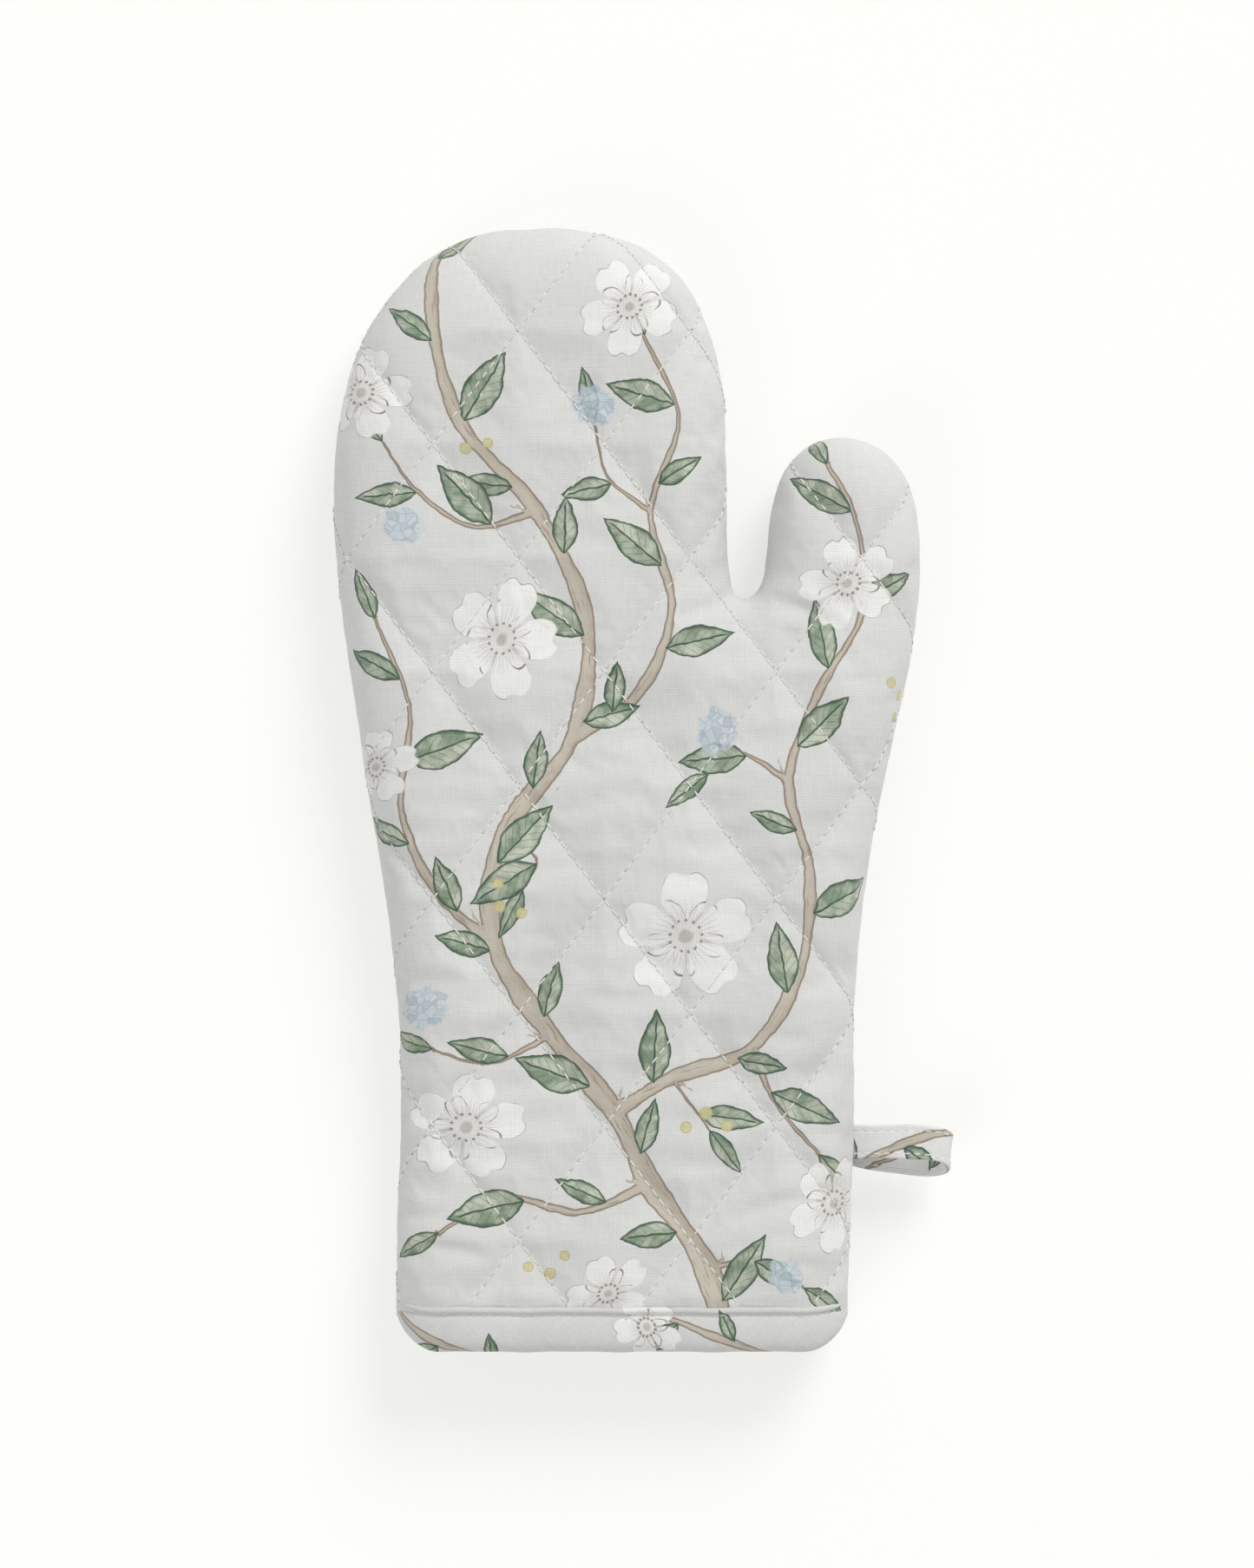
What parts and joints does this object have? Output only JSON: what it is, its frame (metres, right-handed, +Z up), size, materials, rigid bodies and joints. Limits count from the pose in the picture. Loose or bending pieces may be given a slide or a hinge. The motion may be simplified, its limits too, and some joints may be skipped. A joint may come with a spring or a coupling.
{
  "type": "oven mitt",
  "caption": "Quilted fabric oven mitt with a thumb, a bound cuff that opens on a padded hand pocket, and a folded hanging loop that swings at the side seam.",
  "frame": {"origin": "on the underside that the mitt lies on, under the cuff's centreline and at half of the mitt's length", "axes": "+Y towards the fingertips, +X towards the thumb, +Z up through the front panel; the mitt lies flat on its back panel"},
  "size_m": [0.1765, 0.32, 0.033],
  "materials": {
    "printed_cotton": "matte plain-weave cotton, light warm grey with a printed flowering-branch pattern",
    "binding_cotton": "matte plain-weave cotton cut on the bias",
    "lining_cotton": "matte off-white cotton",
    "batting": "matte fibre wadding",
    "thread": "off-white spun sewing thread"
  },
  "bodies": {
    "mitt": {"front_shell": "printed_cotton", "front_batting": "batting", "front_lining": "lining_cotton", "back_shell": "printed_cotton", "back_batting": "batting", "back_lining": "lining_cotton", "front_quilting_thread": "thread", "front_bobbin_thread": "thread", "back_quilting_thread": "thread", "back_bobbin_thread": "thread", "side_seam_thread": "thread", "seam_overlock_thread": "thread", "cuff_binding": "binding_cotton", "binding_topstitch": "thread", "binding_bobbin_thread": "thread", "loop_seam_tails": "printed_cotton"},
    "loop": {"hanging_loop": "printed_cotton", "loop_edge_stitch": "thread"}
  },
  "joints": [
    {"name": "loop_swing", "type": "hinge", "parent": "mitt", "child": "loop", "pos_m": [0.06694, -0.1025, 0.014], "axis": [0, 1, 0], "range_deg": [-80, 80], "stiffness_Nm_per_rad": 0.002}
  ]
}
